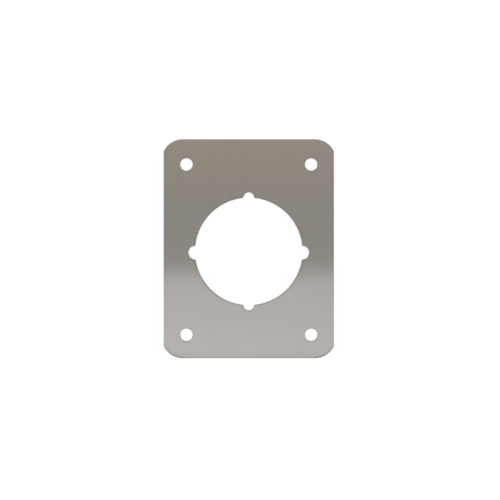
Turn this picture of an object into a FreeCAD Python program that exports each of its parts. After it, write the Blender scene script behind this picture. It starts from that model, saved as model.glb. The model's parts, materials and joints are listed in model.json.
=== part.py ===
import FreeCAD, Part
import Sketcher
import enum
import math
import os

# Remodeler plate: a flat cover plate of brushed stainless sheet, which a door lock is mounted through.
# It is one length of strip. A parting tool with round corners cuts its ends, so each corner is an arc
# that runs smoothly out of the end and meets the straight side at a slight angle, which is eased. A
# round lock bore with four half-round notches for the lock's bolts is punched just below the middle,
# and a plain screw hole near each corner. Those four stand slightly low on the plate as well.
#
# Millimetres. The origin is on the bore's axis at the back face, X is across the plate, Y is up the
# plate as it is fixed to a door, and Z comes out of the brushed front face.

plate_name = "remodeler_plate"

# Driving dimensions: alias in the sheet, value, what it measures
driving_dimensions = (
    ("plate_width", 88.9, "width of the strip, 3 1/2 inch"),
    ("plate_height", 114.3, "length it is parted at, 4 1/2 inch"),
    ("plate_thickness", 1.27, "thickness of the sheet, 0.050 inch"),
    ("corner_radius", 11.0, "corner arc of the parting tool"),
    ("corner_overrun", 1.0, "how far past the side that arc would run on"),
    ("corner_ease_radius", 1.5, "round that eases the angle between that arc and the side"),
    ("bore_diameter", 56.0, "round hole for the body of the lock"),
    ("bore_drop", 1.4, "centre of the bore below the middle of the plate"),
    ("end_notch_diameter", 5.5, "bolt notches at the top and bottom of the bore"),
    ("side_notch_diameter", 6.9, "bolt notches at the left and right of the bore"),
    ("side_notch_drop", 0.7, "centres of the left and right notches below the bore's"),
    ("notch_lip_radius", 0.4, "rounded lips where a notch opens into the bore"),
    ("screw_hole_diameter", 6.5, "plain screw holes"),
    ("screw_from_side", 11.9, "centre of a screw hole in from the side, 15/32 inch"),
    ("screw_from_end", 12.7, "centre of a screw hole in from the end before the drop, 1/2 inch"),
    ("screw_drop", 0.45, "middle of the four screw holes below the middle of the plate"),
    ("front_edge_radius", 0.15, "edge rolled by the punch, round the front face and the bore"),
    ("edge_break", 0.1, "filed edge round the back face and the screw holes"),
)

# How near an edge or a face must be to its worked-out place to be picked
pick_tolerance = 1e-3

full_turn = 2 * math.pi
three_quarters = 3 / 4 * full_turn
half_turn = full_turn / 2
quarter_turn = full_turn / 4


class At(enum.IntEnum):
    """How a sketch numbers the points of a curve."""
    start = 1
    end = 2
    centre = 3


class Axis(enum.IntEnum):
    """How a sketch numbers its own axes, which both start at its origin."""
    across = -1
    along = -2


sketch_origin = (Axis.across, At.start)


# The sheet of sizes

def add_sheet(document):
    sheet = document.addObject("Spreadsheet::Sheet", "Sizes")
    for row, (alias, value, meaning) in enumerate(driving_dimensions, start=1):
        sheet.set(f"A{row}", alias)
        sheet.set(f"B{row}", str(value))
        sheet.setAlias(f"B{row}", alias)
        sheet.set(f"C{row}", meaning)
    document.recompute()
    return sheet


# Drawing in a sketch

def add_sketch(body, name):
    """A sketch on the body's XY plane, which is the back face of the plate."""
    sketch = body.newObject("Sketcher::SketchObject", name)
    back_plane = next(plane for plane in body.Origin.OriginFeatures if plane.Role == "XY_Plane")
    sketch.AttachmentSupport = [(back_plane, "")]
    sketch.MapMode = "FlatFace"
    return sketch


def add_line(sketch, start, end):
    return sketch.addGeometry(Part.LineSegment(FreeCAD.Vector(*start), FreeCAD.Vector(*end)), False)


def add_circle(sketch, centre, radius):
    ring = Part.Circle(FreeCAD.Vector(*centre), FreeCAD.Vector(0, 0, 1), radius)
    return sketch.addGeometry(ring, False)


def add_arc(sketch, centre, radius, start_angle, end_angle):
    """An arc drawn anticlockwise, with its angles in radians from the X axis."""
    ring = Part.Circle(FreeCAD.Vector(*centre), FreeCAD.Vector(0, 0, 1), radius)
    return sketch.addGeometry(Part.ArcOfCircle(ring, start_angle, end_angle), False)


def relate(sketch, relation, *places):
    """Hold parts of a sketch to a relation such as Horizontal, Tangent or Coincident."""
    sketch.addConstraint(Sketcher.Constraint(relation, *places))


def measure(sketch, name, formula, kind, *places):
    """Hold parts of a sketch to a named distance or size that follows the sheet."""
    value = float(sketch.evalExpression(formula))
    number = sketch.addConstraint(Sketcher.Constraint(kind, *places, value))
    sketch.renameConstraint(number, name)
    sketch.setExpression(f"Constraints.{name}", formula)


# The blank

def draw_outline(body, sheet):
    """Straight sides and ends, a large arc at each corner and a small one that eases it to the side.

    The small arc touches the side, and the large arc from inside, so its centre is as far from the
    large arc's as the two radii differ.
    """
    sketch = add_sketch(body, "Outline")
    side_x = sheet.plate_width / 2
    top_y = sheet.bore_drop + sheet.plate_height / 2
    bottom_y = sheet.bore_drop - sheet.plate_height / 2
    large = sheet.corner_radius
    small = sheet.corner_ease_radius
    inset = large - sheet.corner_overrun
    large_x = side_x - inset
    small_x = side_x - small
    turn = math.acos((inset - small) / (large - small))
    rise = (large - small) * math.sin(turn)
    top_large_y = top_y - large
    top_small_y = top_large_y + rise
    bottom_large_y = bottom_y + large
    bottom_small_y = bottom_large_y - rise

    # Anticlockwise from the foot of the right side
    right_side = add_line(sketch, (side_x, bottom_small_y), (side_x, top_small_y))
    ease_top_right = add_arc(sketch, (small_x, top_small_y), small, 0, turn)
    top_right = add_arc(sketch, (large_x, top_large_y), large, turn, quarter_turn)
    top_end = add_line(sketch, (large_x, top_y), (-large_x, top_y))
    top_left = add_arc(sketch, (-large_x, top_large_y), large, quarter_turn, half_turn - turn)
    ease_top_left = add_arc(sketch, (-small_x, top_small_y), small, half_turn - turn, half_turn)
    left_side = add_line(sketch, (-side_x, top_small_y), (-side_x, bottom_small_y))
    ease_bottom_left = add_arc(sketch, (-small_x, bottom_small_y), small, half_turn, half_turn + turn)
    bottom_left = add_arc(sketch, (-large_x, bottom_large_y), large, half_turn + turn, three_quarters)
    bottom_end = add_line(sketch, (-large_x, bottom_y), (large_x, bottom_y))
    bottom_right = add_arc(sketch, (large_x, bottom_large_y), large, three_quarters, full_turn - turn)
    ease_bottom_right = add_arc(sketch, (small_x, bottom_small_y), small, full_turn - turn, full_turn)

    outline = (right_side, ease_top_right, top_right, top_end, top_left, ease_top_left,
               left_side, ease_bottom_left, bottom_left, bottom_end, bottom_right, ease_bottom_right)
    for piece, following in zip(outline, outline[1:] + outline[:1]):
        relate(sketch, "Tangent", piece, At.end, following, At.start)
    for side in (right_side, left_side):
        relate(sketch, "Vertical", side)
    for end in (top_end, bottom_end):
        relate(sketch, "Horizontal", end)
    for arc in (top_left, bottom_left, bottom_right):
        relate(sketch, "Equal", top_right, arc)
    for arc in (ease_top_left, ease_bottom_left, ease_bottom_right):
        relate(sketch, "Equal", ease_top_right, arc)

    measure(sketch, "corner_radius", "Sizes.corner_radius", "Radius", top_right)
    measure(sketch, "ease_radius", "Sizes.corner_ease_radius", "Radius", ease_top_right)
    inset_formula = "Sizes.corner_radius - Sizes.corner_overrun"
    for name, arc in (("top_right_inset", top_right), ("bottom_right_inset", bottom_right)):
        measure(sketch, name, inset_formula, "DistanceX", arc, At.centre, right_side, At.start)
    for name, arc in (("top_left_inset", top_left), ("bottom_left_inset", bottom_left)):
        measure(sketch, name, inset_formula, "DistanceX", left_side, At.start, arc, At.centre)
    measure(sketch, "width", "Sizes.plate_width",
            "DistanceX", left_side, At.start, right_side, At.start)
    measure(sketch, "right_of_bore", "Sizes.plate_width / 2",
            "DistanceX", *sketch_origin, right_side, At.start)
    measure(sketch, "height", "Sizes.plate_height",
            "DistanceY", bottom_end, At.start, top_end, At.start)
    measure(sketch, "above_bore", "Sizes.plate_height / 2 + Sizes.bore_drop",
            "DistanceY", *sketch_origin, top_end, At.start)
    return sketch


def part_blank(body, sheet):
    """The length of sheet that everything is punched from."""
    blank = body.newObject("PartDesign::Pad", "Blank")
    blank.Profile = draw_outline(body, sheet)
    blank.setExpression("Length", "Sizes.plate_thickness")


# The lock bore and its notches

def polar(distance, angle):
    return FreeCAD.Vector(distance * math.cos(angle), distance * math.sin(angle), 0)


def bearing(start, end):
    """The angle from the X axis of the line from one point to another."""
    return math.atan2(end.y - start.y, end.x - start.x)


def draw_bore(body, sheet):
    """The bore's edge: four notches centred on it, the bore's arcs between them, and rounded lips.

    The notches run right, top, left, bottom, and the left and right ones stand a little low.
    A lip rounds a corner of the metal, so its circle touches the bore's and the notch's from outside.
    The three centres make a triangle of known sides, which gives the lip's turn about the bore's axis.
    """
    sketch = add_sketch(body, "BoreOutline")
    bore_centre = FreeCAD.Vector(0, 0, 0)
    bore_radius = sheet.bore_diameter / 2
    lip_radius = sheet.notch_lip_radius
    lip_reach = bore_radius + lip_radius
    dip = math.asin(sheet.side_notch_drop / bore_radius)
    headings = (-dip, quarter_turn, half_turn + dip, three_quarters)
    diameters = (sheet.side_notch_diameter, sheet.end_notch_diameter) * 2
    notches, first_lips, last_lips, lip_turns = [], [], [], []
    for heading, diameter in zip(headings, diameters):
        notch_radius = diameter / 2
        lip_span = notch_radius + lip_radius
        lip_cosine = (bore_radius**2 + lip_reach**2 - lip_span**2) / (2 * bore_radius * lip_reach)
        lip_turn = math.acos(lip_cosine)
        notch_centre = polar(bore_radius, heading)
        first_centre = polar(lip_reach, heading - lip_turn)
        last_centre = polar(lip_reach, heading + lip_turn)
        notches.append(add_arc(
            sketch, notch_centre, notch_radius,
            bearing(notch_centre, first_centre), bearing(notch_centre, last_centre)))
        first_lips.append(add_arc(
            sketch, first_centre, lip_radius,
            bearing(first_centre, notch_centre), bearing(first_centre, bore_centre)))
        last_lips.append(add_arc(
            sketch, last_centre, lip_radius,
            bearing(last_centre, bore_centre), bearing(last_centre, notch_centre)))
        lip_turns.append(lip_turn)

    # Each arc of the bore runs on to the first lip of the next notch
    bores = []
    for number, (heading, lip_turn) in enumerate(zip(headings, lip_turns)):
        following = (number + 1) % len(notches)
        turn = (headings[following] - heading) % full_turn
        bores.append(add_arc(
            sketch, bore_centre, bore_radius,
            heading + lip_turn, heading + turn - lip_turns[following]))
        relate(sketch, "Tangent", first_lips[number], At.start, notches[number], At.start)
        relate(sketch, "Tangent", notches[number], At.end, last_lips[number], At.end)
        relate(sketch, "Tangent", last_lips[number], At.start, bores[number], At.start)
        relate(sketch, "Tangent", bores[number], At.end, first_lips[following], At.end)
        relate(sketch, "Coincident", bores[number], At.centre, *sketch_origin)
        relate(sketch, "PointOnObject", notches[number], At.centre, bores[0])

    right_notch, top_notch, left_notch, bottom_notch = notches
    relate(sketch, "Horizontal", left_notch, At.centre, right_notch, At.centre)
    for notch in (top_notch, bottom_notch):
        relate(sketch, "PointOnObject", notch, At.centre, Axis.along)
    lips = first_lips + last_lips
    for first, same in ((bores[0], bores[1:]), (lips[0], lips[1:]),
                        (right_notch, (left_notch,)), (top_notch, (bottom_notch,))):
        for arc in same:
            relate(sketch, "Equal", first, arc)
    measure(sketch, "bore_diameter", "Sizes.bore_diameter", "Diameter", bores[0])
    measure(sketch, "side_notch_diameter", "Sizes.side_notch_diameter", "Diameter", right_notch)
    measure(sketch, "end_notch_diameter", "Sizes.end_notch_diameter", "Diameter", top_notch)
    measure(sketch, "side_notch_drop", "Sizes.side_notch_drop",
            "DistanceY", right_notch, At.centre, *sketch_origin)
    measure(sketch, "lip_radius", "Sizes.notch_lip_radius", "Radius", lips[0])
    return sketch


def punch_bore(body, sheet):
    """One shaped punch goes right through the sheet, from the back face up."""
    bore = body.newObject("PartDesign::Pocket", "LockBore")
    bore.Profile = draw_bore(body, sheet)
    bore.Type = "ThroughAll"
    bore.Reversed = True


# The screw holes

def drill_screw_holes(document, body, sheet):
    """Four plain holes in a rectangle, even between the sides and a little nearer the bottom end."""
    sketch = add_sketch(body, "ScrewCircles")
    reach_x = sheet.plate_width / 2 - sheet.screw_from_side
    reach_y = sheet.plate_height / 2 - sheet.screw_from_end
    middle_y = sheet.bore_drop - sheet.screw_drop
    rows = []
    for row_y in (middle_y + reach_y, middle_y - reach_y):
        left, right = (add_circle(sketch, (x, row_y), sheet.screw_hole_diameter / 2)
                       for x in (-reach_x, reach_x))
        relate(sketch, "Symmetric", left, At.centre, right, At.centre, Axis.along)
        relate(sketch, "Equal", left, right)
        rows.append((left, right))
    (top_left, top_right), (bottom_left, bottom_right) = rows
    relate(sketch, "Equal", top_left, bottom_left)
    relate(sketch, "Vertical", bottom_left, At.centre, top_left, At.centre)
    measure(sketch, "diameter", "Sizes.screw_hole_diameter", "Diameter", top_left)
    measure(sketch, "across", "Sizes.plate_width - 2 * Sizes.screw_from_side",
            "DistanceX", top_left, At.centre, top_right, At.centre)
    measure(sketch, "along", "Sizes.plate_height - 2 * Sizes.screw_from_end",
            "DistanceY", bottom_left, At.centre, top_left, At.centre)
    measure(sketch, "above_bore",
            "Sizes.plate_height / 2 - Sizes.screw_from_end + Sizes.bore_drop - Sizes.screw_drop",
            "DistanceY", *sketch_origin, top_left, At.centre)

    holes = body.newObject("PartDesign::Hole", "ScrewHoles")
    holes.Profile = sketch
    document.recompute()
    holes.DepthType = "ThroughAll"
    holes.Reversed = True
    holes.setExpression("Diameter", "Sizes.screw_hole_diameter")


# The edges

def flat_face(shape, height):
    """The flat face that lies at a height above the back of the plate."""
    for face in shape.Faces:
        box = face.BoundBox
        if max(abs(box.ZMin - height), abs(box.ZMax - height)) < pick_tolerance:
            return face
    raise RuntimeError(f"the plate has no flat face at {height} mm")


def edge_names(shape, edges):
    return [f"Edge{number}" for number, candidate in enumerate(shape.Edges, start=1)
            if any(candidate.isSame(edge) for edge in edges)]


def finish_edges(document, body, sheet):
    """Roll the front face's outline and bore, then break the back face and both rims of each hole.

    Of all the flat faces' edges, only the rim of a screw hole is one closed circle.
    """
    document.recompute()
    drilled = body.Tip
    front = flat_face(drilled.Shape, sheet.plate_thickness)
    outlines = [edge for edge in front.Edges if not edge.isClosed()]
    rolling = body.newObject("PartDesign::Fillet", "RolledFront")
    rolling.Base = (drilled, edge_names(drilled.Shape, outlines))
    rolling.setExpression("Radius", "Sizes.front_edge_radius")
    document.recompute()

    front = flat_face(rolling.Shape, sheet.plate_thickness)
    back = flat_face(rolling.Shape, 0)
    rims = [edge for edge in front.Edges if edge.isClosed()]
    breaking = body.newObject("PartDesign::Chamfer", "BrokenEdges")
    breaking.Base = (rolling, edge_names(rolling.Shape, back.Edges + rims))
    breaking.setExpression("Size", "Sizes.edge_break")


# The whole plate

def build_plate(document, sheet):
    body = document.addObject("PartDesign::Body", "Plate")
    body.Label = plate_name
    part_blank(body, sheet)
    punch_bore(body, sheet)
    drill_screw_holes(document, body, sheet)
    finish_edges(document, body, sheet)
    document.recompute()
    return body


def check_document(document):
    """Stop if anything in the document failed, which a recompute alone doesn't report."""
    for item in document.Objects:
        if "Invalid" in item.State or "Error" in item.State:
            raise RuntimeError(f"{item.Name} failed: {item.State}")


def check_plate(body):
    """Stop unless the plate is one sound solid that every step after the blank took metal from."""
    steps = [item for item in body.Group if item.isDerivedFrom("PartDesign::Feature")]
    for before, after in zip(steps, steps[1:]):
        if after.Shape.Volume >= before.Shape.Volume:
            raise RuntimeError(f"{after.Name} took nothing from {before.Name}")
    if body.Shape.isNull() or not body.Shape.isValid() or len(body.Shape.Solids) != 1:
        raise RuntimeError("the plate isn't one sound solid")


def check_sketches(document):
    for sketch in document.findObjects("Sketcher::SketchObject"):
        if sketch.solve() != 0 or not sketch.FullyConstrained:
            raise RuntimeError(f"{sketch.Name} isn't fully held by its dimensions")


def main():
    document = FreeCAD.newDocument("RemodelerPlate")
    sheet = add_sheet(document)
    plate = build_plate(document, sheet)
    check_document(document)
    check_sketches(document)
    check_plate(plate)
    os.makedirs("parts", exist_ok=True)
    plate.Shape.exportStep(f"parts/{plate.Label}.step")
    print(f"{plate.Label}: {plate.Shape.Volume:.1f} cubic mm, {len(plate.Shape.Faces)} faces")


main()
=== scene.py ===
import bpy
import json
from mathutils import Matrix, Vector


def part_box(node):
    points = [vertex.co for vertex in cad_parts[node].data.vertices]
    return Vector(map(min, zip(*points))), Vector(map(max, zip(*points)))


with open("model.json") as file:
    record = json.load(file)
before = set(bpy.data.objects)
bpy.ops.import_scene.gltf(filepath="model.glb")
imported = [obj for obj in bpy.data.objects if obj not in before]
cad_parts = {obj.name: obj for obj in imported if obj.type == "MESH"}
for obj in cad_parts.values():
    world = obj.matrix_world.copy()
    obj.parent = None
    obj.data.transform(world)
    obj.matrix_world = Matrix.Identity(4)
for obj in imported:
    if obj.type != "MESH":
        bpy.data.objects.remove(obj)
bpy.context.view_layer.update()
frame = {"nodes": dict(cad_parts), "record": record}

# Remodeler plate in brushed stainless, lying on its back, seen from straight above.
# Metres. The lengths inside the materials are millimetres, to suit the size of the grain.

plate = frame["nodes"]["remodeler_plate"]
boxLow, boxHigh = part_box("remodeler_plate")
mounts = {mount["name"]: mount for mount in frame["record"]["mounts"]}
perMetre = 1000  # millimetres


# Nodes

def addNode(tree, kind, **settings):
    node = tree.nodes.new(kind)
    for name, value in settings.items():
        setattr(node, name, value)
    return node


# A socket takes either a link from another node or a plain value
def feed(tree, socket, value):
    if isinstance(value, bpy.types.NodeSocket):
        tree.links.new(value, socket)
    else:
        socket.default_value = value


def calc(tree, operation, *values):
    node = addNode(tree, "ShaderNodeMath", operation=operation)
    for socket, value in zip(node.inputs, values):
        feed(tree, socket, value)
    return node.outputs[0]


def scaleVector(tree, vector, factor):
    node = addNode(tree, "ShaderNodeVectorMath", operation="SCALE")
    feed(tree, node.inputs[0], vector)
    feed(tree, node.inputs["Scale"], factor)
    return node.outputs["Vector"]


def splitVector(tree, vector):
    node = addNode(tree, "ShaderNodeSeparateXYZ")
    feed(tree, node.inputs[0], vector)
    return node.outputs[0], node.outputs[1], node.outputs[2]


# From low to high as a number runs from start to stop, smoothly unless another slope is asked for
def ramp(tree, value, start, stop, low=0.0, high=1.0, slope="SMOOTHSTEP"):
    node = addNode(tree, "ShaderNodeMapRange", interpolation_type=slope)
    for name, number in (("Value", value), ("From Min", start), ("From Max", stop),
                         ("To Min", low), ("To Max", high)):
        feed(tree, node.inputs[name], number)
    return node.outputs["Result"]


# A Mix node keeps sockets for each kind of value: 2 and 3 take numbers, 6 and 7 take colours
def blendNumber(tree, factor, first, second):
    node = addNode(tree, "ShaderNodeMix", data_type="FLOAT")
    for place, value in ((0, factor), (2, first), (3, second)):
        feed(tree, node.inputs[place], value)
    return node.outputs[0]


def blendColour(tree, factor, first, second):
    node = addNode(tree, "ShaderNodeMix", data_type="RGBA")
    for place, value in ((0, factor), (6, first), (7, second)):
        feed(tree, node.inputs[place], value)
    return node.outputs[2]


def blendShader(tree, factor, first, second):
    node = addNode(tree, "ShaderNodeMixShader")
    for place, value in enumerate((factor, first, second)):
        feed(tree, node.inputs[place], value)
    return node.outputs[0]


def newGroup(name, inputs, outputs):
    group = bpy.data.node_groups.new(name, "ShaderNodeTree")
    for label, value in inputs.items():
        socket = group.interface.new_socket(label, in_out="INPUT", socket_type="NodeSocketFloat")
        socket.default_value = value
    for label in outputs:
        group.interface.new_socket(label, in_out="OUTPUT", socket_type="NodeSocketFloat")
    return group, addNode(group, "NodeGroupInput").outputs, addNode(group, "NodeGroupOutput").inputs


def placeGroup(tree, group, values):
    node = addNode(tree, "ShaderNodeGroup", node_tree=group)
    for label, value in values.items():
        feed(tree, node.inputs[label], value)
    return node.outputs


def newMaterial(name):
    material = bpy.data.materials.new(name)
    material.use_nodes = True
    material.node_tree.nodes.clear()
    return material, material.node_tree


def showSurface(tree, shader, kind="ShaderNodeOutputMaterial"):
    feed(tree, addNode(tree, kind).inputs["Surface"], shader)


def placeInMillimetres(tree):
    return scaleVector(tree, addNode(tree, "ShaderNodeTexCoord").outputs["Object"], perMetre)


# Grain: noise squeezed by its own spacing in each direction, so long spacings give long lines
grainInputs = {"Across": 0.1, "Along": 10.0, "Through": 0.1, "Offset": 0.0, "Detail": 2.0}
grainMiddle = 0.5  # what the noise swings about


def buildGrain():
    group, given, out = newGroup("grain", grainInputs, ["Value"])
    squeezed = addNode(group, "ShaderNodeCombineXYZ")
    places = splitVector(group, placeInMillimetres(group))
    for socket, place, spacing in zip(squeezed.inputs, places, ("Across", "Along", "Through")):
        steps = calc(group, "DIVIDE", place, given[spacing])
        feed(group, socket, calc(group, "ADD", steps, given["Offset"]))
    noise = addNode(group, "ShaderNodeTexNoise", noise_dimensions="3D")
    noise.inputs["Scale"].default_value = 1.0
    feed(group, noise.inputs["Vector"], squeezed.outputs[0])
    feed(group, noise.inputs["Detail"], given["Detail"])
    feed(group, out["Value"], noise.outputs["Fac"])
    return group


boreDims = mounts["lock_bore"]["dims"]
screwDims = mounts["screw_holes"]["dims"]

outline = {  # millimetres, as the plate is cut, from the centre of the bore
    "Half Width": (boxHigh.x - boxLow.x) / 2 * perMetre,
    "Half Height": (boxHigh.y - boxLow.y) / 2 * perMetre,
    "Middle": (boxHigh.y + boxLow.y) / 2 * perMetre,
    "Corner Radius": 11.0,
    "Overrun": 1.0,
    "Bore Radius": boreDims["r_mm"],
    "Side Notch Radius": 3.45,
    "Side Notch Drop": 0.7,
    "End Notch Radius": 2.75,
    "Screw Across": screwDims["spacing_x_mm"] / 2,
    "Screw Along": screwDims["spacing_y_mm"] / 2,
    "Screw Middle": mounts["screw_holes"]["pos_m"][1] * perMetre,
    "Screw Radius": screwDims["hole_r_mm"],
}


# How far a point of the faces is from the plate's outline, corner arcs, long sides, ends and nearest
# hole. The outline is a box with rounded corners, cut off at the long sides. A hole's distance is that
# from its centre less its radius, and the least one counts.
def buildEdgeDistance():
    distances = ["Outline", "Corner", "Side", "End", "Hole"]
    group, given, out = newGroup("edgeDistance", dict.fromkeys(outline, 1.0), distances)

    def minus(first, second):
        return calc(group, "SUBTRACT", first, second)

    def lengthOf(x, y):
        squares = [calc(group, "MULTIPLY", part, part) for part in (x, y)]
        return calc(group, "SQRT", calc(group, "ADD", *squares))

    def outsideCircle(x, y, radius):
        return minus(lengthOf(x, y), radius)

    x, y, _ = splitVector(group, placeInMillimetres(group))
    absX = calc(group, "ABSOLUTE", x)
    absY = calc(group, "ABSOLUTE", y)
    absPlateY = calc(group, "ABSOLUTE", minus(y, given["Middle"]))
    absScrewY = calc(group, "ABSOLUTE", minus(y, given["Screw Middle"]))
    sideNotchY = calc(group, "ADD", y, given["Side Notch Drop"])
    fromSide = minus(given["Half Width"], absX)
    fromEnd = minus(given["Half Height"], absPlateY)

    # The corner arcs belong to a box that runs past the long sides. A point's distance from it is the
    # corner radius less how far the point lies past the centre of the arc, across and along together.
    pastX = minus(minus(given["Corner Radius"], given["Overrun"]), fromSide)
    pastY = minus(given["Corner Radius"], fromEnd)
    corner = lengthOf(calc(group, "MAXIMUM", pastX, 0.0), calc(group, "MAXIMUM", pastY, 0.0))
    straight = calc(group, "MINIMUM", calc(group, "MAXIMUM", pastX, pastY), 0.0)
    insideBox = minus(given["Corner Radius"], calc(group, "ADD", corner, straight))

    # A corner arc ends with its quarter circle, and past that the way back to it is added
    shortOfQuarter = calc(group, "MINIMUM", calc(group, "MINIMUM", pastX, pastY), 0.0)
    fromArc = minus(minus(given["Corner Radius"], corner), shortOfQuarter)

    nearest = outsideCircle(x, y, given["Bore Radius"])
    for distance in (
            outsideCircle(minus(absX, given["Bore Radius"]), sideNotchY, given["Side Notch Radius"]),
            outsideCircle(x, minus(absY, given["Bore Radius"]), given["End Notch Radius"]),
            outsideCircle(minus(absX, given["Screw Across"]), minus(absScrewY, given["Screw Along"]),
                          given["Screw Radius"])):
        nearest = calc(group, "MINIMUM", nearest, distance)
    feed(group, out["Outline"], calc(group, "MINIMUM", insideBox, fromSide))
    feed(group, out["Corner"], fromArc)
    feed(group, out["Side"], fromSide)
    feed(group, out["End"], fromEnd)
    feed(group, out["Hole"], nearest)
    return group


# The steel

# Each thing adds what it says to the colour, the roughness and the height. Spacings, widths, heights
# and falls are millimetres.
steel = {
    "faceColour": (0.56, 0.535, 0.505, 1.0),
    "wallColour": (0.43, 0.41, 0.385, 1.0),
    "faceRoughness": 0.33,
    "wallRoughness": 0.46,
    "anisotropy": 1.0,          # the glint spreads across the brushed lines
    "faceTurn": (0.35, 0.80),   # how upright the normal of a rolled edge is where wall turns into face
    "faceGrains": {
        "hairlines": {"Across": 0.13, "Along": 14.0, "Through": 0.13, "Offset": 3.1, "Detail": 2.0,
                      "colour": 0.14, "roughness": 0.20, "height": 0.0070},
        "threads": {"Across": 0.55, "Along": 38.0, "Through": 0.55, "Offset": 17.7, "Detail": 2.0,
                    "colour": 0.10, "roughness": 0.10, "height": 0.0060},
        "passes": {"Across": 2.6, "Along": 90.0, "Through": 2.6, "Offset": 41.3, "Detail": 2.0,
                   "colour": 0.08, "roughness": 0.06},
        "haze": {"Across": 16.0, "Along": 24.0, "Through": 16.0, "Offset": 5.5, "Detail": 3.0,
                 "colour": 0.02, "roughness": 0.06},
    },
    "scratches": {"Across": 0.22, "Along": 26.0, "Through": 0.22, "Offset": 71.9, "Detail": 1.0,
                  "turn": (0.70, 0.78), "colour": 0.05, "height": -0.004},
    "rims": {                   # where the metal curves down; their colours are painted: painted shade at the holes and corners, a painted highlight along the outline
        "Hole": {"width": 0.9, "fall": 0.06, "colour": -0.06, "roughness": 0.10},
        "Outline": {"width": 0.9, "fall": 0.03, "colour": 0.06},  # painted highlight along the rolled edge
        "Corner": {"width": 1.2, "fall": 0.03, "colour": -0.10, "roughness": 0.10},  # painted shade along the corner arcs
        "End": {"width": 8.5, "fall": 0.14},  # a gentle droop
    },
    # painted shade: darker bands along the strip's long sides
    "paintedSideShade": {"width": 2.6, "colour": -0.03},
    "striations": {"Across": 0.09, "Along": 0.09, "Through": 1.6, "Offset": 9.4, "Detail": 3.0,
                   "colour": 0.35, "roughness": 0.12, "height": 0.012},
    "tornZone": {"Across": 1.4, "Along": 1.4, "Through": 50.0, "Offset": 27.0, "Detail": 4.0,
                 "turn": (0.62, 0.72), "wavering": 0.5, "colour": -0.18, "roughness": 0.14},
}


def placeGrain(tree, grain, kind):
    return placeGroup(tree, grain, {label: kind[label] for label in grainInputs})["Value"]


def placeSwing(tree, grain, kind):
    return calc(tree, "SUBTRACT", placeGrain(tree, grain, kind), grainMiddle)


def addLooks(tree, looks, share, kind):
    for name in looks:
        if kind.get(name):
            looks[name] = calc(tree, "ADD", looks[name], calc(tree, "MULTIPLY", share, kind[name]))


# A rim's share grows straight from its width to the edge, and its fall grows with the share's square
def addRim(tree, looks, distance, rim):
    share = ramp(tree, distance, 0.0, rim["width"], 1.0, 0.0, "LINEAR")
    addLooks(tree, looks, share, rim)
    fall = calc(tree, "MULTIPLY", calc(tree, "MULTIPLY", share, share), rim["fall"])
    looks["height"] = calc(tree, "SUBTRACT", looks["height"], fall)


# The faces: brushed lines of three sizes, the haze that handling leaves, a few deeper scratches where
# thin noise passes a threshold, the rims with their painted shade and painted highlight, and painted
# shade in bands along the strip's long sides
def brushFaces(tree, grain):
    looks = {"colour": 0.0, "roughness": steel["faceRoughness"], "height": 0.0}
    for kind in steel["faceGrains"].values():
        addLooks(tree, looks, placeSwing(tree, grain, kind), kind)
    scratches = steel["scratches"]
    deep = ramp(tree, placeGrain(tree, grain, scratches), *scratches["turn"])
    addLooks(tree, looks, deep, scratches)
    edges = placeGroup(tree, buildEdgeDistance(), outline)
    # The rims add bumps and roughness, and through their colours painted shade or a painted highlight
    for name, rim in steel["rims"].items():
        addRim(tree, looks, edges[name], rim)
    # painted shade along the long sides
    paintedSideShade = steel["paintedSideShade"]
    addLooks(tree, looks, ramp(tree, edges["Side"], 0.0, paintedSideShade["width"], 1.0, 0.0), paintedSideShade)
    return looks


# The sheared walls: upright striations, smooth near the front and torn below a wavering line
def shearWalls(tree, grain):
    looks = {"colour": 0.0, "roughness": steel["wallRoughness"], "height": 0.0}
    addLooks(tree, looks, placeSwing(tree, grain, steel["striations"]), steel["striations"])
    tornZone = steel["tornZone"]
    level = splitVector(tree, placeInMillimetres(tree))[2]
    waver = calc(tree, "MULTIPLY", placeSwing(tree, grain, tornZone), tornZone["wavering"])
    torn = ramp(tree, calc(tree, "ADD", level, waver), *tornZone["turn"], 1.0, 0.0)
    addLooks(tree, looks, torn, tornZone)
    return looks


# The lines run up the plate on its faces and through it on its walls, and the glint runs across them:
# the tangent is the normal crossed with the direction of the lines
def crossLines(tree, normal, upright):
    onFace = calc(tree, "GREATER_THAN", upright, sum(steel["faceTurn"]) / 2)
    lines = addNode(tree, "ShaderNodeCombineXYZ")
    feed(tree, lines.inputs["Y"], onFace)
    feed(tree, lines.inputs["Z"], calc(tree, "SUBTRACT", 1.0, onFace))
    across = addNode(tree, "ShaderNodeVectorMath", operation="CROSS_PRODUCT")
    feed(tree, across.inputs[0], normal)
    feed(tree, across.inputs[1], lines.outputs[0])
    return across.outputs["Vector"]


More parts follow.
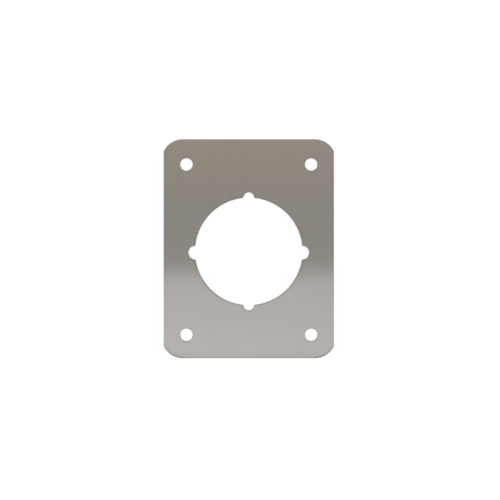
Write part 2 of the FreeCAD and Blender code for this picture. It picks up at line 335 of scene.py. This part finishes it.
def buildSteel():
    material, tree = newMaterial("brushedStainless")
    grain = buildGrain()

    # Faces look up or down, walls look sideways
    normal = addNode(tree, "ShaderNodeNewGeometry").outputs["Normal"]
    upright = calc(tree, "ABSOLUTE", splitVector(tree, normal)[2])
    face = ramp(tree, upright, *steel["faceTurn"])
    onWalls = shearWalls(tree, grain)
    onFaces = brushFaces(tree, grain)
    looks = {name: blendNumber(tree, face, onWalls[name], onFaces[name]) for name in onFaces}
    colour = blendColour(tree, face, steel["wallColour"], steel["faceColour"])
    brightness = calc(tree, "ADD", 1.0, looks["colour"])

    bump = addNode(tree, "ShaderNodeBump")
    bump.inputs["Strength"].default_value = 1.0
    bump.inputs["Distance"].default_value = 1 / perMetre
    feed(tree, bump.inputs["Height"], looks["height"])

    shader = addNode(tree, "ShaderNodeBsdfPrincipled")
    shader.inputs["Metallic"].default_value = 1.0
    shader.inputs["Anisotropic"].default_value = steel["anisotropy"]
    feed(tree, shader.inputs["Base Color"], scaleVector(tree, colour, brightness))
    feed(tree, shader.inputs["Roughness"], looks["roughness"])
    feed(tree, shader.inputs["Normal"], bump.outputs["Normal"])
    feed(tree, shader.inputs["Tangent"], crossLines(tree, normal, upright))
    showSurface(tree, shader.outputs["BSDF"])
    return material


plate.data.materials.clear()
plate.data.materials.append(buildSteel())
print("steel: done")


# The studio

studio = {
    "floorSize": 8.0,
    "floorDrop": 0.00002,      # keeps the floor just clear of the plate's back
    "floorGlow": 1.24,         # with the matt share it comes out white
    "floorGlowShare": 0.70,    # the rest is matt and takes the plate's shadow
    "floorColour": (0.85, 0.85, 0.85, 1.0),
    "skyTop": (0.453, 0.434, 0.411, 1.0),  # what the dark half of the plate mirrors
    "skyRound": (1.0, 1.0, 1.0, 1.0),
    "skyTurn": (0.20, 0.72),   # heights between which the white wall turns into the ceiling
}

# Soft lights: a near one above the lower half of the plate and a far one past its bottom end, which make
# that half pale, a faint warm one and a fainter cool one past its top end, and a key behind its top left
# corner
softLights = {
    "nearCard": {"place": (-0.16, -0.0461, 0.115), "aim": (-0.16, -0.0461, 0.0), "size": (0.60, 0.0644),
                 "power": 0.0513, "colour": (0.895, 0.92, 1.0)},
    "farCard": {"place": (-0.24, -0.1085, 0.200), "aim": (-0.24, -0.1085, 0.0), "size": (0.90, 0.100),
                "power": 0.0366, "colour": (1.0, 0.83, 0.86)},
    "warmCard": {"place": (-0.20, 0.1040, 0.200), "aim": (-0.20, 0.1040, 0.0), "size": (0.90, 0.112),
                 "power": 0.0158, "colour": (1.0, 0.60, 0.02)},
    "coolCard": {"place": (0.10, 0.1300, 0.210), "aim": (0.10, 0.1300, 0.0), "size": (0.90, 0.110),
                 "power": 0.0110, "colour": (0.62, 0.72, 1.0)},
    "key": {"place": (-0.50, 0.62, 0.60), "aim": (0.0, 0.0, 0.0), "size": (0.45, 0.45),
            "power": 1.1, "colour": (1.0, 1.0, 1.0)},
}


# White to the camera and to reflections, matt to everything else, and not there at all from below, so
# that the plate's back can be seen
def buildFloorMaterial():
    material, tree = newMaterial("paleFloor")
    path = addNode(tree, "ShaderNodeLightPath").outputs
    mirrored = calc(tree, "MAXIMUM", path["Is Glossy Ray"], path["Is Transmission Ray"])
    seen = calc(tree, "MAXIMUM", path["Is Camera Ray"], mirrored)
    matt = addNode(tree, "ShaderNodeBsdfDiffuse")
    matt.inputs["Color"].default_value = studio["floorColour"]
    glow = addNode(tree, "ShaderNodeEmission")
    glow.inputs["Strength"].default_value = studio["floorGlow"]
    share = calc(tree, "MULTIPLY", seen, studio["floorGlowShare"])
    pale = blendShader(tree, share, matt.outputs[0], glow.outputs[0])
    below = addNode(tree, "ShaderNodeNewGeometry").outputs["Backfacing"]
    clear = addNode(tree, "ShaderNodeBsdfTransparent").outputs[0]
    showSurface(tree, blendShader(tree, below, pale, clear))
    return material


def buildFloor():
    half = studio["floorSize"] / 2
    corners = [(x, y, -studio["floorDrop"]) for x, y in
               ((-half, -half), (half, -half), (half, half), (-half, half))]
    mesh = bpy.data.meshes.new("floor")
    mesh.from_pydata(corners, [], [(0, 1, 2, 3)])
    mesh.materials.append(buildFloorMaterial())
    floor = bpy.data.objects.new("floor", mesh)
    bpy.context.scene.collection.objects.link(floor)


def buildSky():
    world = bpy.data.worlds.new("studioSky")
    world.use_nodes = True
    tree = world.node_tree
    tree.nodes.clear()
    up = splitVector(tree, addNode(tree, "ShaderNodeTexCoord").outputs["Generated"])[2]
    colour = blendColour(tree, ramp(tree, up, *studio["skyTurn"]), studio["skyRound"], studio["skyTop"])
    background = addNode(tree, "ShaderNodeBackground")
    background.inputs["Strength"].default_value = 1.0
    feed(tree, background.inputs["Color"], colour)
    showSurface(tree, background.outputs[0], "ShaderNodeOutputWorld")
    bpy.context.scene.world = world


def buildSoftLights():
    for name, values in softLights.items():
        light = bpy.data.lights.new(name, "AREA")
        light.shape = "RECTANGLE"
        light.size, light.size_y = values["size"]
        light.energy = values["power"]
        light.color = values["colour"]
        lamp = bpy.data.objects.new(name, light)
        lamp.location = values["place"]
        down = Vector(values["aim"]) - Vector(values["place"])
        lamp.rotation_euler = down.to_track_quat("-Z", "Y").to_euler()
        lamp.visible_camera = False
        bpy.context.scene.collection.objects.link(lamp)


buildFloor()
buildSky()
buildSoftLights()
print("studio: done")


# The camera looks straight down, with the top of the plate up the picture. Its focal length is to half
# the sensor as the distance is to half the frame.

view = {
    "aim": (0.00064, 0.00073),
    "distance": 0.600,         # from the front face
    "halfFrame": 0.1304,       # from the middle of the picture to its side, at the front face
    "sensor": 36.0,            # millimetres
}


def buildCamera():
    data = bpy.data.cameras.new("frontCamera")
    data.sensor_width = view["sensor"]
    data.lens = view["sensor"] / 2 * view["distance"] / view["halfFrame"]
    camera = bpy.data.objects.new("frontCamera", data)
    camera.location = (*view["aim"], boxHigh.z + view["distance"])
    bpy.context.scene.collection.objects.link(camera)
    bpy.context.scene.camera = camera


buildCamera()
bpy.context.scene.view_settings.view_transform = "Standard"
print("camera: done")
